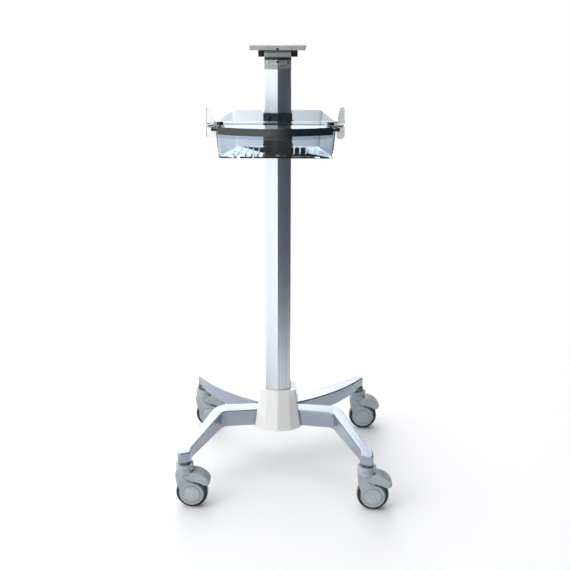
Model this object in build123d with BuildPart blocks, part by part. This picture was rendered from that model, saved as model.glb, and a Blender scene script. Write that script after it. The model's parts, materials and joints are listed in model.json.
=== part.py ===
from build123d import *
import os

# Wheeled stand for a desktop medical imaging machine, millimetres.
# Origin on the floor under the column, X to the right, Y to the back, Z up.

# ---- driving dimensions -------------------------------------------------------------------------

# column: aluminium extrusion with a shallow V front
column_width = 60.0
column_back = 30.0                # flat back face, Y
column_shoulder = -26.0           # Y of the front corners
column_ridge = -33.0              # Y of the front ridge
column_wall = 3.0
column_bottom = 126.0
column_top = 1000.5

# head
cap_top = 1021.3                  # top of the column cap
washer_top = 1025.3
block_bottom = 1025.6
block_top = 1041.2
tilt_axis_z = 1033.0
carrier_bottom = 1044.2
carrier_top = 1049.5
plate_top = 1055.0
plate_width = 126.0
plate_depth = 120.0
bolt_square = 100.0               # square of the machine's mounting screws
small_bolt_square = 75.0
bolt_hole_radius = 2.25
spigot_radius = 11.0
running_clearance = 0.05          # radial, every turning pin

# tray
tray_back = -37.0                 # Y of the outer back wall
tray_front = -186.0               # Y of the outer front wall
tray_back_half = 102.0
tray_front_half = 133.5
tray_top = 905.0                  # rim at the front
rim_rise = 6.5                    # how much higher the rim is at the back
tray_floor = 825.0                # underside of the floor
tray_wall = 3.0
tray_inset = 7.0                  # how much the bin narrows from rim to floor
handle_top = 897.0
handle_plate = 3.0
handle_drop = 23.0                # height of the skirt
handle_middle = -240.0            # Y of the front of the bow
handle_end = -206.0               # Y of the bow at the hooks
handle_half = 133.0
hook_half = 147.0                 # outer face of a cable hook
hook_y = -182.0
bracket_bottom = 802.0
bracket_top = 903.0

# base
hub_top = 217.0
leg_bottom = 121.0
leg_root_top = 164.0
leg_end_top = 145.0
caster_half_span = 213.0          # swivel axes, X and Y
leg_end = 227.0

# casters, measured from the swivel axis
wheel_radius = 37.5
wheel_half_width = 11.5
trail = 16.0                      # wheel axle behind the swivel axis
fork_half_width = 18.0
cheek_inner = 12.7
cheek_radius = 28.0
head_radius = 20.5
head_top = 111.0
head_bottom = 88.0
pedal_axis_x = 9.0
pedal_axis_z = 85.0
axle_radius = 4.0

sides = {"left": -1, "right": 1}
corners = {"front_left": (-1, -1), "front_right": (1, -1), "rear_left": (-1, 1), "rear_right": (1, 1)}

os.makedirs("parts", exist_ok=True)


def save(solid, name):
    """Label one finished piece and write its STEP file."""
    solid.label = name
    export_step(solid, f"parts/{name}.step")


def column_outline(margin):
    """Closed outline of the extrusion, grown outwards by margin: V front, square back corners."""
    half = column_width / 2 + margin
    with BuildLine() as outline:
        Polyline(
            (-half, column_shoulder - margin),
            (0, column_ridge - margin),
            (half, column_shoulder - margin),
            (half, column_back + margin),
            (-half, column_back + margin),
            close=True,
        )
    return outline.line


# ---- column -------------------------------------------------------------------------------------

# One hollow extrusion with a screw channel in each corner.
with BuildPart() as column:
    with BuildSketch(Plane.XY.offset(column_bottom)) as section:
        add(column_outline(0))
        make_face()
        fillet(section.vertices().group_by(Axis.Y)[-1], 4)
        with BuildSketch(mode=Mode.PRIVATE) as bore:
            add(column_outline(-column_wall))
            make_face()
        add(bore.sketch, mode=Mode.SUBTRACT)
        with Locations((-23, 23), (23, 23), (-23, -21), (23, -21)):
            Circle(5)
        with Locations((-23, 23), (23, 23), (-23, -21), (23, -21)):
            Circle(2.1, mode=Mode.SUBTRACT)
    extrude(amount=column_top - column_bottom)
save(column.part, "column")

# ---- column cap and pan swivel ------------------------------------------------------------------

screw_x = 22.5
screw_z = 1015.5
face_rise = column_shoulder - column_ridge


def cap_face(side):
    """Plane on the cap's slanted front face, at one of its face screws, looking out."""
    face_y = column_ridge + face_rise * screw_x / (column_width / 2)
    return Plane(origin=(side * screw_x, face_y, screw_z), z_dir=(side * face_rise, -column_width / 2, 0))


# Cast cap on the extrusion, with two grooves round it, a plug inside the tube and the swivel's bore.
with BuildPart() as column_cap:
    with BuildSketch(Plane.XY.offset(column_top)) as section:
        add(column_outline(0))
        make_face()
        fillet(section.vertices().group_by(Axis.Y)[-1], 4)
    extrude(amount=cap_top - column_top)
    for groove_z in (column_top + 0.6, column_top + 7.5):
        with BuildSketch(Plane.XY.offset(groove_z)):
            add(column_outline(2))
            make_face()
            with BuildSketch(mode=Mode.PRIVATE) as groove_floor:
                add(column_outline(-0.8))
                make_face()
            add(groove_floor.sketch, mode=Mode.SUBTRACT)
        extrude(amount=1.2, mode=Mode.SUBTRACT)
    with BuildSketch(Plane.XY.offset(column_top)):
        Circle(17)
    extrude(amount=-24)
    with Locations((0, 0, column_top)):
        Cylinder(spigot_radius + running_clearance, 120, mode=Mode.SUBTRACT)
    for side in sides.values():
        with Locations(cap_face(side)):
            Cylinder(2.0, 16, mode=Mode.SUBTRACT)
    with Locations(Plane(origin=(0, column_ridge, screw_z + 1), z_dir=(0, -1, 0))):
        Cylinder(2.6, 16, mode=Mode.SUBTRACT)
save(column_cap.part, "column_cap")

# Two button-headed screws in the cap's front face.
with BuildPart() as cap_screws:
    for side in sides.values():
        with Locations(cap_face(side)):
            Cylinder(2.0, 8, align=(Align.CENTER, Align.CENTER, Align.MAX))
            Cylinder(3.2, 1.4, align=(Align.CENTER, Align.CENTER, Align.MIN))
            Cylinder(1.2, 1.6, align=(Align.CENTER, Align.CENTER, Align.MIN), mode=Mode.SUBTRACT)
save(cap_screws.part, "cap_screws")

# Black socket set screw that locks the swivel.
with BuildPart() as cap_set_screw:
    with Locations(Plane(origin=(0, column_ridge + 8, screw_z + 1), z_dir=(0, -1, 0))):
        Cylinder(2.6, 8.4, align=(Align.CENTER, Align.CENTER, Align.MIN))
        with Locations((0, 0, 8.4)):
            Cylinder(1.4, 3, align=(Align.CENTER, Align.CENTER, Align.MAX), mode=Mode.SUBTRACT)
save(cap_set_screw.part, "cap_set_screw")

# Black nylon washer that the head turns on.
with BuildPart() as swivel_washer:
    with BuildSketch(Plane.XY.offset(cap_top)) as section:
        add(column_outline(0))
        make_face()
        fillet(section.vertices().group_by(Axis.Y)[-1], 4)
        Circle(spigot_radius + 0.4, mode=Mode.SUBTRACT)
    extrude(amount=washer_top - cap_top)
save(swivel_washer.part, "swivel_washer")

nut_top = column_top - 24.4
spigot_bottom = nut_top - 8

# Spigot under the tilt block, turning in the cap's bore.
with BuildPart() as swivel_spigot:
    with Locations((0, 0, spigot_bottom)):
        Cylinder(8, nut_top - spigot_bottom, align=(Align.CENTER, Align.CENTER, Align.MIN))
    with Locations((0, 0, nut_top)):
        Cylinder(spigot_radius, block_bottom - nut_top, align=(Align.CENTER, Align.CENTER, Align.MIN))
save(swivel_spigot.part, "swivel_spigot")

# Nut that keeps the spigot in the cap.
with BuildPart() as spigot_nut:
    with BuildSketch(Plane.XY.offset(spigot_bottom + 1)):
        RegularPolygon(15, 6)
        Circle(8, mode=Mode.SUBTRACT)
    extrude(amount=nut_top - spigot_bottom - 1)
save(spigot_nut.part, "spigot_nut")

# ---- tilt hinge and mounting plate --------------------------------------------------------------

block_half = 30.2
knuckle_inner = 30.6
knuckle_outer = 44.6
tilt_axle_radius = 4.0

# Grey block between the knuckles, narrowed at the top so that the plate can tilt over it.
with BuildPart() as tilt_block:
    with BuildSketch(Plane.YZ.offset(-block_half)):
        with BuildLine():
            Polyline(
                (-20, block_bottom),
                (20, block_bottom),
                (20, tilt_axis_z + 3),
                (10, block_top),
                (-10, block_top),
                (-20, tilt_axis_z + 3),
                close=True,
            )
        make_face()
    extrude(amount=2 * block_half)
    fillet(tilt_block.edges().filter_by(Axis.X), 1)
    with Locations(Plane.YZ * Pos(0, tilt_axis_z, 0)):
        Cylinder(tilt_axle_radius + running_clearance, 80, mode=Mode.SUBTRACT)
save(tilt_block.part, "tilt_block")

knuckle_depth = 20.0
knuckle_nose = 7.2                # radius under the axis, which keeps clear of the washer at any tilt

# Black knuckles, each screwed up into the carrier plate and rounded under the axle.
for side_name, side in sides.items():
    with BuildPart() as knuckle:
        with BuildSketch(Plane.YZ.offset(side * knuckle_inner)):
            with Locations((0, (tilt_axis_z + carrier_bottom) / 2)):
                Rectangle(knuckle_depth, carrier_bottom - tilt_axis_z)
            with Locations((0, tilt_axis_z)):
                Circle(knuckle_nose)
        extrude(amount=side * (knuckle_outer - knuckle_inner))
        with Locations(Plane.YZ * Pos(0, tilt_axis_z, 0)):
            Cylinder(tilt_axle_radius, 2 * knuckle_outer + 2, mode=Mode.SUBTRACT)
    save(knuckle.part, f"tilt_knuckle_{side_name}")

# Steel axle, pressed into the knuckles and turning in the block with friction.
with BuildPart() as tilt_axle:
    with Locations(Plane.YZ * Pos(0, tilt_axis_z, 0)):
        Cylinder(tilt_axle_radius, 2 * knuckle_outer - 1)
save(tilt_axle.part, "tilt_axle")

carrier_screw_spots = [(x, y) for x in (-25, 25) for y in (-42, 42)]

# Carrier plate, a little smaller than the plate on top of it.
with BuildPart() as tilt_carrier:
    with BuildSketch(Plane.XY.offset(carrier_bottom)):
        RectangleRounded(plate_width - 1.6, plate_depth - 1.6, 3)
    extrude(amount=carrier_top - carrier_bottom)
    chamfer(tilt_carrier.faces().sort_by(Axis.Z)[0].edges(), 0.8)
    with Locations((0, 0, carrier_bottom)):
        with GridLocations(bolt_square, bolt_square, 2, 2):
            Cylinder(bolt_hole_radius, 40, mode=Mode.SUBTRACT)
        with GridLocations(small_bolt_square, small_bolt_square, 2, 2):
            Cylinder(bolt_hole_radius, 40, mode=Mode.SUBTRACT)
        with Locations(*carrier_screw_spots):
            Cylinder(2.0, 40, mode=Mode.SUBTRACT)
    with Locations(Plane(origin=(0, -plate_depth / 2, carrier_bottom + 2.4), z_dir=(0, -1, 0))):
        Cylinder(1.8, 26, mode=Mode.SUBTRACT)
save(tilt_carrier.part, "tilt_carrier")

# Black lock screw in the carrier's front edge.
with BuildPart() as plate_lock_screw:
    with Locations(Plane(origin=(0, 0.8 - plate_depth / 2, carrier_bottom + 2.4), z_dir=(0, -1, 0))):
        Cylinder(1.8, 10, align=(Align.CENTER, Align.CENTER, Align.MAX))
        Cylinder(2.6, 1.8, align=(Align.CENTER, Align.CENTER, Align.MIN))
        Cylinder(1.1, 1.8, align=(Align.CENTER, Align.CENTER, Align.MIN), mode=Mode.SUBTRACT)
save(plate_lock_screw.part, "plate_lock_screw")

# Mounting plate with two squares of through holes for the machine and countersinks for its own screws.
with BuildPart() as mounting_plate:
    with BuildSketch(Plane.XY.offset(carrier_top)):
        RectangleRounded(plate_width, plate_depth, 4)
    extrude(amount=plate_top - carrier_top)
    chamfer(mounting_plate.faces().sort_by(Axis.Z)[-1].edges(), 0.6)
    with Locations((0, 0, plate_top)):
        with GridLocations(bolt_square, bolt_square, 2, 2):
            Cylinder(bolt_hole_radius, 40, mode=Mode.SUBTRACT)
        with GridLocations(small_bolt_square, small_bolt_square, 2, 2):
            Cylinder(bolt_hole_radius, 40, mode=Mode.SUBTRACT)
        with Locations(*carrier_screw_spots):
            CounterSinkHole(2.0, 4.0, depth=20)
save(mounting_plate.part, "mounting_plate")

# Four countersunk screws that hold the mounting plate on the carrier.
with BuildPart() as carrier_screws:
    with Locations((0, 0, plate_top)):
        with Locations(*carrier_screw_spots):
            Cylinder(2.0, plate_top - carrier_bottom - 0.6, align=(Align.CENTER, Align.CENTER, Align.MAX))
            Cone(2.0, 4.0, 2.0, align=(Align.CENTER, Align.CENTER, Align.MAX))
            Cylinder(1.2, 1.4, align=(Align.CENTER, Align.CENTER, Align.MAX), mode=Mode.SUBTRACT)
save(carrier_screws.part, "carrier_screws")

# ---- tray bracket -------------------------------------------------------------------------------

bracket_wall = 3.0
bracket_rear = 14.0               # Y where the bracket's side walls end
tray_screw_spots = [(x, z) for x in (-20, 20) for z in (850, 888)]
bracket_screw_spots = [(0, z) for z in (825, 880)]
bracket_boss_radius = 5.0
screw_radius = 2.5

# Black U-shaped bracket that wraps the column, with bosses that reach the tray's flat back wall.
with BuildPart() as tray_bracket:
    with BuildSketch(Plane.XY.offset(bracket_bottom)):
        add(column_outline(bracket_wall))
        make_face()
        with BuildSketch(mode=Mode.PRIVATE) as bore:
            add(column_outline(0))
            make_face()
        add(bore.sketch, mode=Mode.SUBTRACT)
    extrude(amount=bracket_top - bracket_bottom)
    split(bisect_by=Plane.XZ.offset(-bracket_rear), keep=Keep.TOP)
    with BuildSketch(Plane.XZ.offset(-tray_back)):
        with Locations(*tray_screw_spots):
            Circle(bracket_boss_radius)
    extrude(until=Until.NEXT, dir=(0, 1, 0))
    with BuildSketch(Plane.XZ.offset(-tray_back)):
        with Locations(*tray_screw_spots):
            Circle(screw_radius)
    extrude(amount=-30, mode=Mode.SUBTRACT)
    with BuildSketch(Plane.YZ.offset(-50)):
        with Locations(*bracket_screw_spots):
            Circle(screw_radius)
    extrude(amount=100, mode=Mode.SUBTRACT)
save(tray_bracket.part, "tray_bracket")

# Four screws, two each side, that hold the bracket on the column.
with BuildPart() as bracket_screws:
    for side in sides.values():
        outer_face = side * (column_width / 2 + bracket_wall)
        with Locations(*[Plane.YZ.offset(outer_face) * Pos(y, z) for y, z in bracket_screw_spots]):
            Cylinder(screw_radius, 2 * bracket_wall)
            with Locations((0, 0, side * 1.3)):
                Cylinder(4.5, 2.6)
save(bracket_screws.part, "bracket_screws")

# ---- tray ---------------------------------------------------------------------------------------

rib_pitch = 13.0
rib_height = 4.5
rib_width = 3.0
floor_thickness = 3.0
lip = 3.5
lip_thickness = 2.5


def tray_outline(inset, back_wall, corner):
    """Plan of the tray: straight narrow back, sides that open towards the front, rounded corners."""
    with BuildSketch(mode=Mode.PRIVATE) as plan:
        with BuildLine():
            Polyline(
                (inset - tray_back_half, tray_back - back_wall),
                (tray_back_half - inset, tray_back - back_wall),
                (tray_front_half - inset, tray_front + inset),
                (inset - tray_front_half, tray_front + inset),
                close=True,
            )
        make_face()
        fillet(plan.vertices(), corner)
    return plan.sketch


# Plane of the rim, rising towards the back.
rim_plane = Plane(
    origin=(0, tray_front, tray_top),
    x_dir=(1, 0, 0),
    z_dir=(0, -rim_rise, tray_back - tray_front),
)


def rim_outline(inset, back_wall, corner):
    """Plan of the tray as drawn on the rim's plane."""
    return tray_outline(inset, back_wall, corner).moved(Location((0, -tray_front, 0)))


def tray_body(wall, floor):
    """Tapered solid of the bin, each wall moved in by a wall thickness, standing on a floor height."""
    with BuildPart(mode=Mode.PRIVATE) as body:
        with BuildSketch(Plane.XY.offset(floor)):
            add(tray_outline(tray_inset + wall, wall, 12 - wall))
        with BuildSketch(rim_plane):
            add(rim_outline(wall, wall, 12 - wall))
        loft()
    return body.part


tray_outer = tray_body(0, tray_floor)
tray_inner = tray_body(tray_wall, tray_floor + floor_thickness)
rib_count = 15
head_stand_off = 0.2
notch_half = column_width / 2 + bracket_wall + 0.5

# Solid block of the lip, which runs round the sides and front just under the rim.
with BuildPart() as lip_block:
    with BuildSketch(rim_plane):
        add(rim_outline(-lip, 0, 14))
    extrude(amount=-lip_thickness)

# Clear moulded bin: tapered walls, the lip, a notch for the column and ribs along the floor.
with BuildPart() as tray_bin:
    add(tray_outer)
    add(lip_block.part)
    add(tray_inner, mode=Mode.SUBTRACT)
    with Locations((0, tray_back, bracket_top)):
        Box(2 * notch_half, 20, 20, align=(Align.CENTER, Align.CENTER, Align.MIN), mode=Mode.SUBTRACT)
    with BuildSketch(Plane.XY.offset(tray_floor + floor_thickness)):
        with Locations((0, (tray_back + tray_front) / 2)):
            with GridLocations(rib_pitch, 1, rib_count, 1):
                Rectangle(rib_width, 120)
    extrude(amount=rib_height)
    with BuildSketch(Plane.XZ.offset(-tray_back)):
        with Locations(*tray_screw_spots):
            Circle(screw_radius)
    extrude(amount=10, both=True, mode=Mode.SUBTRACT)
save(tray_bin.part, "tray_bin")

# Four pan-headed screws through the tray's back wall into the bracket's bosses; the heads stand
# just off the wall, which leans forwards a little towards the rim.
with BuildPart() as tray_screws:
    for x, z in tray_screw_spots:
        with Locations(Plane(origin=(x, tray_back - tray_wall - head_stand_off, z), z_dir=(0, -1, 0))):
            Cylinder(screw_radius, 8, align=(Align.CENTER, Align.CENTER, Align.MAX))
            Cylinder(4.5, 2.4, align=(Align.CENTER, Align.CENTER, Align.MIN))
save(tray_screws.part, "tray_screws")

# ---- tray handle and cable hooks ----------------------------------------------------------------

skirt_thickness = 4.0
skirt_half = 122.0
ear_half = hook_half - 3.3        # outer edge of the handle's ear, inside the hook's outer wall
ear_back = -168.0
knob_x = 117.0
knob_y = -199.0
foot_thickness = 3.0


def bow(inset, half):
    """Front arc of the handle between two X values, moved back by an inset."""
    rise = handle_end - handle_middle
    radius = (handle_half**2 + rise**2) / (2 * rise)
    centre_y = handle_middle + radius
    radius = radius - inset
    end_y = centre_y - (radius**2 - half**2) ** 0.5
    return (-half, end_y), (0, centre_y - radius), (half, end_y)


# Bowed handle: a flat flange that joins the bin's front, with a deep skirt along the bow.
with BuildPart() as front_handle:
    left_end, middle, right_end = bow(0, handle_half)
    with BuildSketch(Plane.XY.offset(handle_top - handle_plate)) as flange:
        with BuildLine():
            ThreePointArc(left_end, middle, right_end)
            Polyline(
                right_end,
                (ear_half, handle_end + 5),
                (ear_half, ear_back),
                (-ear_half, ear_back),
                (-ear_half, handle_end + 5),
                left_end,
            )
        make_face()
        fillet(flange.vertices().group_by(Axis.X)[0] + flange.vertices().group_by(Axis.X)[-1], 5)
    extrude(amount=handle_plate)
    with BuildSketch(Plane.XY.offset(handle_top)):
        with BuildLine():
            front_left, front_middle, front_right = bow(0, skirt_half)
            back_left, back_middle, back_right = bow(skirt_thickness, skirt_half)
            ThreePointArc(front_left, front_middle, front_right)
            Line(front_right, back_right)
            ThreePointArc(back_right, back_middle, back_left)
            Line(back_left, front_left)
        make_face()
    extrude(amount=-handle_drop)
    add(tray_outer, mode=Mode.SUBTRACT)
    with Locations((-knob_x, knob_y, handle_top), (knob_x, knob_y, handle_top)):
        Cylinder(screw_radius, 20, mode=Mode.SUBTRACT)
save(front_handle.part, "front_handle")

horn_height = 39.0
horn_top_width = 12.0
hook_width = 17.0
hook_depth = 14.0
lobe_bottom = 866.0

# Cable hooks: a foot on the handle's ear, a tapered horn above it and a rounded lobe below.
for side_name, side in sides.items():
    with BuildPart() as hook:
        with BuildSketch(Plane.XY.offset(handle_top)):
            with BuildLine():
                Polyline(
                    (side * 107, -206),
                    (side * 130, -206),
                    (side * hook_half, handle_end + 6),
                    (side * hook_half, ear_back - 3),
                    (side * (hook_half - hook_width), ear_back - 3),
                    (side * (hook_half - hook_width), tray_front - lip - 2),
                    (side * 107, tray_front - lip - 2),
                    close=True,
                )
            make_face()
        extrude(amount=foot_thickness)
        with BuildSketch(Plane.XZ.offset(-hook_y)):
            with BuildLine():
                Polyline(
                    (side * (hook_half - hook_width), handle_top),
                    (side * hook_half, handle_top),
                    (side * (hook_half - 1), handle_top + horn_height - 3),
                    (side * (hook_half - 3.5), handle_top + horn_height),
                    (side * (hook_half - horn_top_width + 2), handle_top + horn_height),
                    (side * (hook_half - horn_top_width), handle_top + horn_height - 2.5),
                    close=True,
                )
            make_face()
        extrude(amount=hook_depth / 2, both=True)
        with BuildSketch(Plane.XZ.offset(-hook_y)) as lobe:
            with Locations((side * (hook_half - hook_width / 2), (handle_top + lobe_bottom) / 2)):
                Rectangle(hook_width, handle_top - lobe_bottom)
            fillet(lobe.vertices().group_by(Axis.Y)[0], 8)
        extrude(amount=hook_depth / 2, both=True)
        with BuildSketch(Plane.XY.offset(handle_top)):
            with Locations((side * (ear_half - 20), (ear_back - 240) / 2)):
                Rectangle(40, 240 + ear_back + 60)
        extrude(amount=-handle_plate, mode=Mode.SUBTRACT)
        add(tray_outer, mode=Mode.SUBTRACT)
        add(lip_block.part, mode=Mode.SUBTRACT)
        with Locations((side * knob_x, knob_y, handle_top)):
            Cylinder(screw_radius, 20, mode=Mode.SUBTRACT)
    save(hook.part, f"cable_hook_{side_name}")

knob_radius = 7.5
knob_height = 7.0

# Black knobs whose studs hold the hooks and the handle together.
with BuildPart() as hook_knobs:
    with Locations(*[(side * knob_x, knob_y, handle_top + foot_thickness) for side in sides.values()]):
        Cylinder(knob_radius, knob_height, align=(Align.CENTER, Align.CENTER, Align.MIN))
        Cylinder(screw_radius, 13, align=(Align.CENTER, Align.CENTER, Align.MAX))
    fillet(hook_knobs.faces().group_by(Axis.Z)[-1].edges(), 2.5)
save(hook_knobs.part, "hook_knobs")

# Black nut blocks under the handle's flange.
with BuildPart() as hook_nuts:
    with BuildSketch(Plane.XY.offset(handle_top - handle_plate)):
        with Locations(*[(side * (knob_x + 7), -199) for side in sides.values()]):
            RectangleRounded(24, 11, 3)
        with Locations(*[(side * knob_x, knob_y) for side in sides.values()]):
            Circle(screw_radius, mode=Mode.SUBTRACT)
    extrude(amount=-7)
save(hook_nuts.part, "hook_nuts")

# ---- base ---------------------------------------------------------------------------------------

core_half = 44.0
core_front = -30.0
core_back = 50.0
core_top = 168.0
core_floor = 5.0
leg_front = -27.5                 # Y of a front leg's front side inside the hub
leg_back = 4.0                    # Y of its rear side inside the hub
socket_in = 197.0                 # inner and outer faces of a leg's end, X
socket_out = 227.0
stud_radius = 5.0
bolt_radius = 4.0
bolt_x = 55.0                     # the bolt into each leg's root
bolt_y = {-1: -12.0, 1: 41.0}
leg_edge_radius = 3.0
bend_in = 137.0                   # a front leg's bend, inner and outer corner
bend_front = -42.5
bend_out = 155.0
bend_back = -7.0
toe = -238.0                      # Y of the front leg's outer end corner


def front_leg_plan(side):
    """A front leg in plan: out to the side from the hub, then a bend, a splayed run and a slanted end."""
    with BuildSketch(mode=Mode.PRIVATE) as plan:
        with BuildLine():
            Polyline(
                (side * 30, leg_front),
                (side * bend_in, bend_front),
                (side * socket_in, -207),
                (side * socket_in, -leg_end),
                (side * socket_out, toe),
                (side * socket_out, -208),
                (side * 214, -190),
                (side * bend_out, bend_back),
                (side * 30, leg_back),
                close=True,
            )
        make_face()
        spots = (
            (20, bend_in, bend_front),
            (45, bend_out, bend_back),
            (40, 214, -190),
            (28, socket_out, -208),
            (6, socket_out, toe),
        )
        for radius, x, y in spots:
            corner = plan.vertices().sort_by_distance(Vector(side * x, y))[0]
            fillet(corner, radius)
    return plan.sketch


def rear_leg_plan(side):
    """A rear leg in plan: a gentle curve from the hub to the corner, with a square end."""
    with BuildSketch(mode=Mode.PRIVATE) as plan:
        with BuildLine():
            ThreePointArc((side * 36, 4), (side * 134, 83), (side * 219, 203))
            Polyline(
                (side * 219, 203),
                (side * socket_out, 214),
                (side * socket_out, leg_end),
                (side * 202, leg_end),
                (side * socket_in, 217),
            )
            ThreePointArc((side * socket_in, 217), (side * 117, 131), (side * 20, 58))
            Line((side * 20, 58), (side * 36, 4))
        make_face()
        corner = plan.vertices().sort_by_distance(Vector(side * socket_out, leg_end))[0]
        fillet(corner, 5)
    return plan.sketch


def core_outline():
    """Plan of the casting inside the hub."""
    with BuildSketch(mode=Mode.PRIVATE) as plan:
        with Locations((0, (core_front + core_back) / 2)):
            RectangleRounded(2 * core_half, core_back - core_front, 14)
    return plan.sketch


def slope_plane(end):
    """Plane of a leg's top, falling from the hub to the caster; end is -1 in front and 1 behind."""
    fall = leg_root_top - leg_end_top
    run = leg_end - 20
    return Plane(origin=(0, end * leg_end, leg_end_top), z_dir=(0, end * fall, run))


# Cast legs: flat underneath and sloping on top; each right leg is the left one's mirror image.
for end_name, end, leg_plan in (("front", -1, front_leg_plan), ("rear", 1, rear_leg_plan)):
    with BuildPart() as left_leg:
        with BuildSketch(Plane.XY.offset(leg_bottom)):
            add(leg_plan(-1))
        extrude(amount=60)
        split(bisect_by=slope_plane(end), keep=Keep.BOTTOM)
        with BuildSketch(Plane.XY.offset(leg_bottom)):
            add(core_outline())
        extrude(amount=80, mode=Mode.SUBTRACT)
        top_edges = left_leg.faces().sort_by(Axis.Z)[-1].edges()
        fillet(top_edges.filter_by(lambda edge: edge.center().X < -core_half - 4), leg_edge_radius)
        with Locations((-caster_half_span, end * caster_half_span, leg_bottom)):
            Cylinder(stud_radius, 40, mode=Mode.SUBTRACT)
        with Locations((-bolt_x, bolt_y[end], leg_bottom)):
            Cylinder(bolt_radius, 30.8, mode=Mode.SUBTRACT)
    save(left_leg.part, f"leg_{end_name}_left")
    with BuildPart() as right_leg:
        mirror(left_leg.part, about=Plane.YZ)
    save(right_leg.part, f"leg_{end_name}_right")

core_bolt_spots = [(-37, 8), (37, 8), (-20, 42), (20, 42)]

# Casting inside the hub: the legs butt against its sides and the column stands in its socket.
with BuildPart() as hub_core:
    with BuildSketch(Plane.XY.offset(leg_bottom)):
        add(core_outline())
    extrude(amount=core_top - leg_bottom)
    with BuildSketch(Plane.XY.offset(core_top)) as sleeve:
        add(column_outline(2.5))
        make_face()
        fillet(sleeve.vertices().group_by(Axis.Y)[-1], 6)
    extrude(amount=22)
    with BuildSketch(Plane.XY.offset(leg_bottom + core_floor)) as socket:
        add(column_outline(0))
        make_face()
        fillet(socket.vertices().group_by(Axis.Y)[-1], 4)
    extrude(amount=120, mode=Mode.SUBTRACT)
    with Locations(*[(x, y, leg_bottom) for x, y in core_bolt_spots]):
        Cylinder(bolt_radius, 30.8, mode=Mode.SUBTRACT)
save(hub_core.part, "hub_core")

# Bolts from below: one into each leg and four into the core.
bolt_spots = [(side * bolt_x, bolt_y[end]) for side, end in corners.values()] + core_bolt_spots
base_plate_thickness = 5.0
with BuildPart() as base_bolts:
    with Locations(*[(x, y, leg_bottom - base_plate_thickness) for x, y in bolt_spots]):
        Cylinder(bolt_radius, 20, align=(Align.CENTER, Align.CENTER, Align.MIN))
        Cylinder(6.5, 4.4, align=(Align.CENTER, Align.CENTER, Align.MAX))
        with Locations((0, 0, -4.4)):
            Cylinder(3.2, 2.6, align=(Align.CENTER, Align.CENTER, Align.MIN), mode=Mode.SUBTRACT)
save(base_bolts.part, "base_bolts")

# Steel plate under the core and the leg roots.
with BuildPart() as base_plate:
    with BuildSketch(Plane.XY.offset(leg_bottom)):
        with Locations((0, 17)):
            RectangleRounded(134, 74, 12)
        with Locations(*bolt_spots):
            Circle(bolt_radius, mode=Mode.SUBTRACT)
    extrude(amount=-base_plate_thickness)
save(base_plate.part, "base_plate")

# ---- hub cover ----------------------------------------------------------------------------------

cover_wall = 3.0
cover_lid = 4.0
cover_gap = 1.0
cover_bottom = 122.0


def cover_outline(half, shoulder, cheek, ridge, back, corner):
    """Plan of the cover at one height: ridged front with a cheek on each side, rounded corners."""
    with BuildSketch(mode=Mode.PRIVATE) as plan:
        with BuildLine():
            Polyline(
                (-half, shoulder),
                (-0.6 * half, cheek),
                (0, ridge),
                (0.6 * half, cheek),
                (half, shoulder),
                (half, back),
                (-half, back),
                close=True,
            )
        make_face()
        fillet(plan.vertices().group_by(Axis.Y)[-1], corner)
        fillet(plan.vertices().filter_by(lambda v: abs(abs(v.X) - 0.6 * half) < 0.01), corner / 2)
        fillet(plan.vertices().filter_by(lambda v: abs(abs(v.X) - half) < 0.01 and v.Y < 0), corner / 4)
    return plan.sketch


def cover_solid(wall, top):
    """Flared solid of the cover, each face moved in by a wall thickness."""
    with BuildPart(mode=Mode.PRIVATE) as body:
        with BuildSketch(Plane.XY.offset(cover_bottom)):
            add(cover_outline(57 - wall, wall - 44, wall - 63, wall - 71, 62 - wall, 26))
        with BuildSketch(Plane.XY.offset(top)):
            add(cover_outline(44 - wall, wall - 28, wall - 32.5, wall - 36, 48 - wall, 18))
        loft()
    return body.part


# Glossy moulded cover over the hub, open below, with openings for the column and the four legs.
with BuildPart() as hub_cover:
    add(cover_solid(0, hub_top))
    add(cover_solid(cover_wall, hub_top - cover_lid), mode=Mode.SUBTRACT)
    with BuildSketch(Plane.XY.offset(cover_bottom)):
        add(column_outline(cover_gap))
        make_face()
    extrude(amount=120, mode=Mode.SUBTRACT)
    for side, end in corners.values():
        with BuildSketch(Plane.XY.offset(leg_bottom)):
            with BuildSketch(mode=Mode.PRIVATE) as clearance:
                add(front_leg_plan(side) if end < 0 else rear_leg_plan(side))
                offset(amount=cover_gap)
            add(clearance.sketch)
        extrude(amount=leg_root_top + 2 - leg_bottom, mode=Mode.SUBTRACT)
save(hub_cover.part, "hub_cover")

# ---- casters ------------------------------------------------------------------------------------

stem_radius = 15.0
kingpin_radius = 5.0
kingpin_reach = 12.0              # into the fork's head
stem_height = leg_bottom - head_top
lug_x = 17.5
lug_y = -9.0
lug_radius = 4.2
lug_height = 16.0
wheel_cavity = 40.5
plate_half_width = 15.4           # the fork where the pedal's skirts lie over it
plate_edge = 19.5
skirt_gap = 0.4
cap_radius = 19.8
cap_recess = 2.0
cap_gap = 1.2
pedal_half_width = 18.0
pedal_boss_radius = 10.0
pedal_pin_radius = 2.5
tongue_radius = 5.6
tongue_half_width = 7.9
rim_radius = 31.0

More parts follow.
